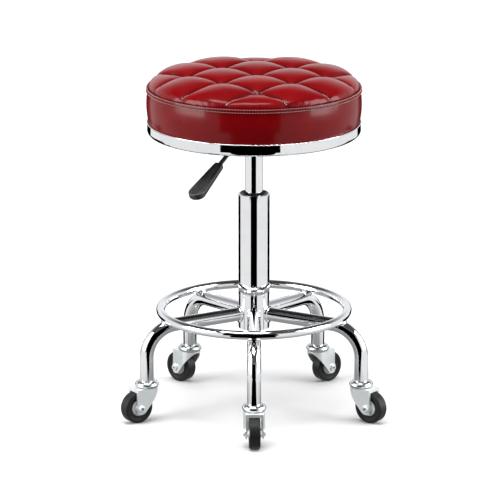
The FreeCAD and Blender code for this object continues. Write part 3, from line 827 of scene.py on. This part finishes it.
# seam: a folded strip of leather over the join, with a row of stitches along each edge
seam = {
    "top": quilt["rimHeight"] + 0.0002,
    "width": 0.0062,
    "thickness": 0.0012,
    "radius": 0.1689,
    "rowGap": 0.0045,
    "lean": 0.0009,
    "arcSteps": 16,
    "cornerPower": 0.6,
    "crestPower": 0.5,
    "grooveWidth": 0.0005,
    "grooveDepth": 0.00035,
    "holeWidth": 0.0006,
    "holeDepth": 0.00025,
    "tuckIn": 0.002,
    "tuckRise": 0.0004,
    # painted shade on the strip: its whole colour leans towards the creases', more at its edges against
    # the band
    "shade": 0.55,  # how far the strip's colour goes towards the creases'
    "edgeShade": 0.95,
    "edgeProud": (0.0009, 0.0002),  # darkest where it stands out least
}


def seamRadius(height):
    # the band under the strip leans in a little towards the top
    share = (height - (seam["top"] - seam["width"])) / seam["width"]
    return seam["radius"] + seam["lean"] * (1 - share)


def rowNearness(height, middle, width):
    # 1 on either row of stitches, falling to 0 beside it
    return math.exp(-((abs(height - middle) - seam["rowGap"] / 2) / width) ** 2)


def makeSeamStrip():
    half = seam["width"] / 2
    middle = seam["top"] - half
    points = []
    for i in range(seam["arcSteps"] + 1):
        a = math.radians(-90 + i * 180 / seam["arcSteps"])
        height = middle + half * math.copysign(abs(math.sin(a)) ** seam["cornerPower"], math.sin(a))
        proud = seam["thickness"] * abs(math.cos(a)) ** seam["crestPower"]
        row = rowNearness(height, middle, seam["grooveWidth"])
        groove = seam["grooveDepth"] * row * (proud > seam["thickness"] / 2)
        points.append((seamRadius(height) + proud - groove, height))
    low = seam["top"] - seam["width"]
    back = [(seamRadius(seam["top"]) - seam["tuckIn"], seam["top"] - seam["tuckRise"])]
    foot = [(seamRadius(low) - seam["tuckIn"], low + seam["tuckRise"])]
    count = round(math.tau * seam["radius"] / stitching["seamPitch"])
    bm = bmesh.new()
    creaseLayer = bm.verts.layers.float.new("crease")
    spinProfile(bm, foot + points + back + foot, 2 * count)
    # painted shade in the crease layer: over the whole strip, darker at its edges against the band and
    # along the rows of stitch holes
    for vert in bm.verts:
        radius = math.hypot(vert.co.x, vert.co.y)
        row = rowNearness(vert.co.z, middle, seam["holeWidth"])
        edge = seam["edgeShade"] * smoothStep(*seam["edgeProud"], radius - seamRadius(vert.co.z))
        hole = 0.5 + 0.5 * math.cos(count * math.atan2(vert.co.y, vert.co.x))
        vert[creaseLayer] = max(seam["shade"], edge, row * (0.75 + 0.25 * hole))
        vert.co += Vector((vert.co.x, vert.co.y, 0)).normalized() * -seam["holeDepth"] * row * hole
    return toObject("seamStrip", bm)


def makeSeamStitches():
    bm = bmesh.new()
    count = round(math.tau * seam["radius"] / stitching["seamPitch"])
    middle = seam["top"] - seam["width"] / 2
    length, thick = stitching["seamLength"], stitching["radius"]
    for i in range(count):
        a = math.tau * (i + 0.5) / count
        out = Vector((math.cos(a), math.sin(a), 0))
        along = Vector((-math.sin(a), math.cos(a), 0))
        for side in (-1, 1):
            height = middle + side * seam["rowGap"] / 2
            radius = seamRadius(height) + seam["thickness"] - stitching["sunk"]
            addStitch(bm, out * radius + up * height, along, out, length, thick)
    return toObject("seamStitches", bm)


seamStrip = makeSeamStrip()
dress(seamStrip, finishes["red_leather"])
seamStitches = makeSeamStitches()
dress(seamStitches, thread)
for piece in (seamStrip, seamStitches):
    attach(piece, "seat")
print("seam ready")


# foam core under the leather
core = {
    "steps": 96,
    "rows": 22,
    "pole": 0.0001,
    "footHeight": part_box("foam_pad")[0].z,
    "footRadius": 0.1654,
    "waist": (0.1675, 0.5065),
    "shoulderRadius": 0.1640,
    "shoulderDrop": 0.008,
    "crownDrop": 0.0165,
    "edgeDrop": 0.0075,
    "slope": 0.45,
}


def makeFoamCore():
    shoulder = core["shoulderRadius"]
    points = [(core["pole"], core["footHeight"]), (core["footRadius"], core["footHeight"])]
    points += [core["waist"], (shoulder, quilt["rimHeight"] - core["shoulderDrop"])]
    for i in range(2, core["rows"]):
        radius = shoulder * math.cos(math.pi / 2 * i / core["rows"])
        under = core["edgeDrop"] + (quilt["rimRadius"] - radius) * core["slope"]
        points.append((radius, crownAt(radius) - min(core["crownDrop"], under)))
    points.append((core["pole"], crownAt(0) - core["crownDrop"]))
    bm = bmesh.new()
    spinProfile(bm, points, core["steps"])
    holes = [e for e in bm.edges if e.is_boundary]
    bmesh.ops.holes_fill(bm, edges=holes, sides=0)
    bmesh.ops.recalc_face_normals(bm, faces=bm.faces[:])
    return toObject("foamCore", bm)


foamCore = makeFoamCore()
dress(foamCore, finishes["foam"])
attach(foamCore, "seat")
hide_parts("foam_pad")
print("foam core ready")


# dust cloth: thin black cloth drawn over the underside, under the trim's flange
dustCloth = {
    "inner": 0.031,
    "outer": 0.160,
    "height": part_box("dust_cover")[1].z - 0.0002,
    "sag": 0.0006,
    "looseFrom": (0.107, 0.125),  # past the seat plate's corners
    "looseTo": (0.156, 0.142),
    "flat": (0.32, 0.32),
    "pleatTurns": 7,
    "pleatsPerMetre": 18,
    "pleatShare": 0.8,
    "steps": 144,
    "rings": 44,
    "thickness": 0.0004,
}


def makeDustCloth():
    bm = bmesh.new()
    points = []
    span = dustCloth["outer"] - dustCloth["inner"]
    for i in range(dustCloth["rings"] + 1):
        radius = dustCloth["inner"] + span * i / dustCloth["rings"]
        points.append((radius, dustCloth["height"]))
    spinProfile(bm, points, dustCloth["steps"])
    for vert in bm.verts:
        radius = math.hypot(vert.co.x, vert.co.y)
        loose = smoothStep(*dustCloth["looseFrom"], radius) * smoothStep(*dustCloth["looseTo"], radius)
        turn = math.atan2(vert.co.y, vert.co.x)
        across = dustCloth["pleatTurns"]
        spot = (math.cos(turn) * across, math.sin(turn) * across, radius * dustCloth["pleatsPerMetre"])
        pleat = noise.noise(Vector(spot))
        vert.co.z -= dustCloth["sag"] * loose * (1 + dustCloth["pleatShare"] * pleat)
    bmesh.ops.recalc_face_normals(bm, faces=bm.faces[:])
    return toObject("dustCloth", bm)


dustSheet = makeDustCloth()
addModifier(dustSheet, "SOLIDIFY", thickness=dustCloth["thickness"], offset=0)
dress(dustSheet, finishes["black_cloth"])
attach(dustSheet, "seat")
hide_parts("dust_cover")
print("dust cloth ready")


# lever paddle: moulded over the end of the rod
paddle = {
    "azimuth": 240.0,  # degrees about the column's axis
    "bendRadius": 0.059,
    "bendHeight": 0.4515,
    "drop": 24.0,
    "start": 0.0535,  # start and end are measured along the arm, from its bend
    "end": 0.141,
    "startHalf": 0.0070,
    "endHalf": 0.0135,
    "halfThick": 0.0055,
    "corner": 0.0128,
    "cornerSteps": 8,
    "neckLength": 0.012,
    "neckSwell": 0.0012,
    "noseChamfer": 0.0015,
    "bevel": 0.0028,
    "bevelSteps": 4,
    "recessRim": (0.0012, 0.0010),
    "recess": 0.0006,
}


def leverFrame():
    # X along the dropping arm from its bend, Y across it, Z square to it
    turn = Matrix.Rotation(math.radians(paddle["azimuth"]), 4, "Z")
    dip = Matrix.Rotation(math.radians(paddle["drop"]), 4, "Y")
    bend = Matrix.Translation((paddle["bendRadius"], 0, paddle["bendHeight"]))
    return turn @ bend @ dip


def makePaddle():
    start, end = paddle["start"], paddle["end"]
    near, far, corner = paddle["startHalf"], paddle["endHalf"], paddle["corner"]
    chamfer = paddle["noseChamfer"]
    outline = [(start, -near + chamfer), (start + chamfer, -near)]
    outline.append((start + paddle["neckLength"], -near - paddle["neckSwell"]))
    for i in range(paddle["cornerSteps"] + 1):
        a = math.radians(-90 + i * 90 / paddle["cornerSteps"])
        outline.append((end - corner + corner * math.cos(a), -far + corner + corner * math.sin(a)))
    outline += [(x, -y) for x, y in reversed(outline)]
    bm = bmesh.new()
    foot = bm.faces.new([bm.verts.new((x, y, -paddle["halfThick"])) for x, y in outline])
    grown = bmesh.ops.extrude_face_region(bm, geom=[foot])
    lid = [v for v in grown["geom"] if isinstance(v, bmesh.types.BMVert)]
    bmesh.ops.translate(bm, verts=lid, vec=(0, 0, 2 * paddle["halfThick"]))
    bmesh.ops.recalc_face_normals(bm, faces=bm.faces[:])
    rims = [e for e in bm.edges if abs(e.verts[0].co.z - e.verts[1].co.z) < 1e-6]
    bmesh.ops.bevel(
        bm, geom=rims, offset=paddle["bevel"], offset_type="OFFSET", affect="EDGES",
        segments=paddle["bevelSteps"], profile=0.5, material=-1, clamp_overlap=True)
    top = [f for f in bm.faces if f.calc_center_median().z > paddle["halfThick"] - 1e-5]
    outer, inner = paddle["recessRim"]
    bmesh.ops.inset_region(bm, faces=top, thickness=outer, depth=0.0)
    bmesh.ops.inset_region(bm, faces=top, thickness=inner, depth=-paddle["recess"])
    bm.transform(leverFrame())
    return toObject("leverPaddle", bm)


leverPaddle = makePaddle()
dress(leverPaddle, finishes["black_plastic"])
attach(leverPaddle, "lever")
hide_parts("lever_paddle")
print("lever paddle ready")


# studio: plain pale floor, soft light from above and both sides, dark cards for the chrome
studio = {
    "floorRadius": 25.0,
    "skyLight": 0.10,  # even light on everything
    "overhead": 2.6,  # soft sun straight above, which draws the shadows
    "overheadSpread": 62.0,
    "overheadPlace": (0, 0.5, 4),
    "sideBoxes": 100.0,
    "leftPlace": (-2.6, -0.9, 1.3),
    "rightPlace": (2.6, -0.5, 1.3),
    "sideAim": (0, 0, 0.4),
    "sideSize": (2.0, 2.2),
    "topBox": 36.0,
    "topPlace": (-0.3, -0.7, 2.5),
    "topAim": (0, 0, 0.5),
    "topSize": (1.6, 0.8),
    "skyTint": (0.97, 0.985, 1.0, 1),
    "horizonTilt": (0.30, 0.66),  # where reflections of the sky go from bright to dark
    "ceilingShine": 0.08,  # what polished pieces see straight up
    "horizonShine": 0.95,
    # in reflections the floor is painted darker near the stool, a painted shadow under it, and brighter
    # further out
    "floorShineNear": 0.30,
    "floorShineFar": 0.88,
    "shineReach": (0.12, 0.45),
    "floorGlow": 0.45,  # far from the stool, so that the floor runs into the white behind it
    "glowReach": (0.45, 2.2),
    "floorTone": (0.665, 0.665, 0.67, 1),
    "floorBounce": (0.22, 0.22, 0.22, 1),  # what the floor throws back onto the stool
    "cardNear": 0.26,
    "cardMiddle": 1.42,  # nearer than this the column is mirrored, further out the trim
    "cardFar": 6.0,
    "cardSteps": 24,
    "frontNear": (-91, 23),  # direction and half angle of each card
    "frontFar": (-94, 31),
    "backNear": (90, 62),
    "backFar": (90, 36),
    "frontDistance": 2.6,
    "frontHeight": 1.9,
    "cardLift": 0.003,
}


def makeFloor():
    bm = bmesh.new()
    bmesh.ops.create_circle(bm, cap_ends=True, segments=96, radius=studio["floorRadius"])
    floor = toObject("studioFloor", bm, smooth=False)
    material, tree, shader = startFinish("paleFloor", **{"Roughness": 0.8, "Specular IOR Level": 0.1})
    glow = tree.nodes.new("ShaderNodeEmission")
    both = tree.nodes.new("ShaderNodeAddShader")
    ray = tree.nodes.new("ShaderNodeLightPath")
    tone = mixColour(tree, ray.outputs["Is Diffuse Ray"], studio["floorTone"], studio["floorBounce"])
    tree.links.new(tone, shader.inputs["Base Color"])
    place = tree.nodes.new("ShaderNodeTexCoord")
    reach = tree.nodes.new("ShaderNodeVectorMath")
    reach.operation = "LENGTH"
    tree.links.new(place.outputs["Object"], reach.inputs[0])
    distance = reach.outputs["Value"]
    further = remap(tree, distance, *studio["glowReach"], 0.0, studio["floorGlow"])
    lift = mathNode(tree, "MULTIPLY", ray.outputs["Is Camera Ray"], further)
    tree.links.new(lift, glow.inputs["Strength"])
    # painted shadow in reflections: glossy rays see the floor dim near the stool and brighter further
    # away
    dim = tree.nodes.new("ShaderNodeEmission")
    nearShine, farShine = studio["floorShineNear"], studio["floorShineFar"]
    shine = remap(tree, distance, *studio["shineReach"], nearShine, farShine)
    tree.links.new(shine, dim.inputs["Strength"])
    pick = tree.nodes.new("ShaderNodeMixShader")
    out = tree.nodes["Material Output"]
    tree.links.new(shader.outputs["BSDF"], both.inputs[0])
    tree.links.new(glow.outputs["Emission"], both.inputs[1])
    tree.links.new(ray.outputs["Is Glossy Ray"], pick.inputs[0])
    tree.links.new(both.outputs["Shader"], pick.inputs[1])
    tree.links.new(dim.outputs["Emission"], pick.inputs[2])
    # from below the floor lets the view through, so that the underside can be looked at
    side = tree.nodes.new("ShaderNodeNewGeometry")
    clear = tree.nodes.new("ShaderNodeBsdfTransparent")
    through = tree.nodes.new("ShaderNodeMixShader")
    tree.links.new(side.outputs["Backfacing"], through.inputs[0])
    tree.links.new(pick.outputs["Shader"], through.inputs[1])
    tree.links.new(clear.outputs["BSDF"], through.inputs[2])
    tree.links.new(through.outputs["Shader"], out.inputs["Surface"])
    dress(floor, material)


def makeCard(name, first, second, halfAngle):
    # black card, seen only in reflections: a line swept round the column's axis
    bm = bmesh.new()
    ends = [bm.verts.new(first), bm.verts.new(second)]
    edge = bm.edges.new(ends)
    bmesh.ops.spin(
        bm, geom=ends + [edge], cent=(0, 0, 0), axis=up, dvec=(0, 0, 0),
        angle=math.radians(2 * halfAngle), steps=studio["cardSteps"],
        use_merge=False, use_duplicate=False,
    )
    card = toObject(name, bm, smooth=False)
    dress(card, startFinish(name, **{"Base Color": (0.0, 0.0, 0.0, 1), "Specular IOR Level": 0.0})[0])
    card.visible_camera = False
    card.visible_diffuse = False
    card.visible_transmission = False
    card.visible_shadow = False


def floorCard(name, near, far, towards, halfAngle):
    start = Vector((1, 0, 0))
    start.rotate(Matrix.Rotation(math.radians(towards - halfAngle), 3, "Z"))
    rise = up * studio["cardLift"]
    makeCard(name, start * near + rise, start * far + rise, halfAngle)


def standingCard(name, towards, halfAngle, distance, tall):
    start = Vector((distance, 0, 0))
    start.rotate(Matrix.Rotation(math.radians(towards - halfAngle), 3, "Z"))
    makeCard(name, start, start + up * tall, halfAngle)


def addLight(name, kind, place, aim, power, **settings):
    light = bpy.data.lights.new(name, kind)
    light.energy = power
    for setting, value in settings.items():
        setattr(light, setting, value)
    lamp = bpy.data.objects.new(name, light)
    lamp.location = place
    lamp.rotation_mode = "QUATERNION"
    lamp.rotation_quaternion = (Vector(aim) - Vector(place)).to_track_quat("-Z", "Y")
    lamp.visible_camera = False
    scene.collection.objects.link(lamp)
    return lamp


def addBox(name, place, aim, power, size):
    addLight(name, "AREA", place, aim, power, shape="RECTANGLE", size=size[0], size_y=size[1])


def makeWorld():
    # bright near the horizon and dark overhead in reflections, even for everything else
    world = bpy.data.worlds.new("studioWorld")
    world.use_nodes = True
    tree = world.node_tree
    tree.nodes.clear()
    out = tree.nodes.new("ShaderNodeOutputWorld")
    back = tree.nodes.new("ShaderNodeBackground")
    ray = tree.nodes.new("ShaderNodeLightPath")
    look = tree.nodes.new("ShaderNodeTexCoord")
    parts = tree.nodes.new("ShaderNodeSeparateXYZ")
    tree.links.new(look.outputs["Generated"], parts.inputs[0])
    low, high = studio["horizonTilt"]
    shine = remap(tree, parts.outputs["Z"], low, high, studio["horizonShine"], studio["ceilingShine"])
    plain = remap(tree, ray.outputs["Is Camera Ray"], 0.0, 1.0, studio["skyLight"], 1.0)
    strength = remap(tree, ray.outputs["Is Glossy Ray"], 0.0, 1.0, plain, shine)
    back.inputs["Color"].default_value = studio["skyTint"]
    tree.links.new(strength, back.inputs["Strength"])
    tree.links.new(back.outputs["Background"], out.inputs["Surface"])
    scene.world = world


makeFloor()
floorCard("frontNearCard", studio["cardNear"], studio["cardMiddle"], *studio["frontNear"])
floorCard("frontFarCard", studio["cardMiddle"], studio["cardFar"], *studio["frontFar"])
standingCard("frontCard", *studio["frontFar"], studio["frontDistance"], studio["frontHeight"])
floorCard("backNearCard", studio["cardNear"], studio["cardMiddle"], *studio["backNear"])
floorCard("backFarCard", studio["cardMiddle"], studio["cardFar"], *studio["backFar"])
makeWorld()
overhead = addLight(
    "overhead", "SUN", studio["overheadPlace"], (0, 0, 0), studio["overhead"],
    angle=math.radians(studio["overheadSpread"]))
overhead.visible_glossy = False
for name, place in (("leftBox", studio["leftPlace"]), ("rightBox", studio["rightPlace"])):
    addBox(name, place, studio["sideAim"], studio["sideBoxes"], studio["sideSize"])
addBox("topBox", studio["topPlace"], studio["topAim"], studio["topBox"], studio["topSize"])
print("studio ready")
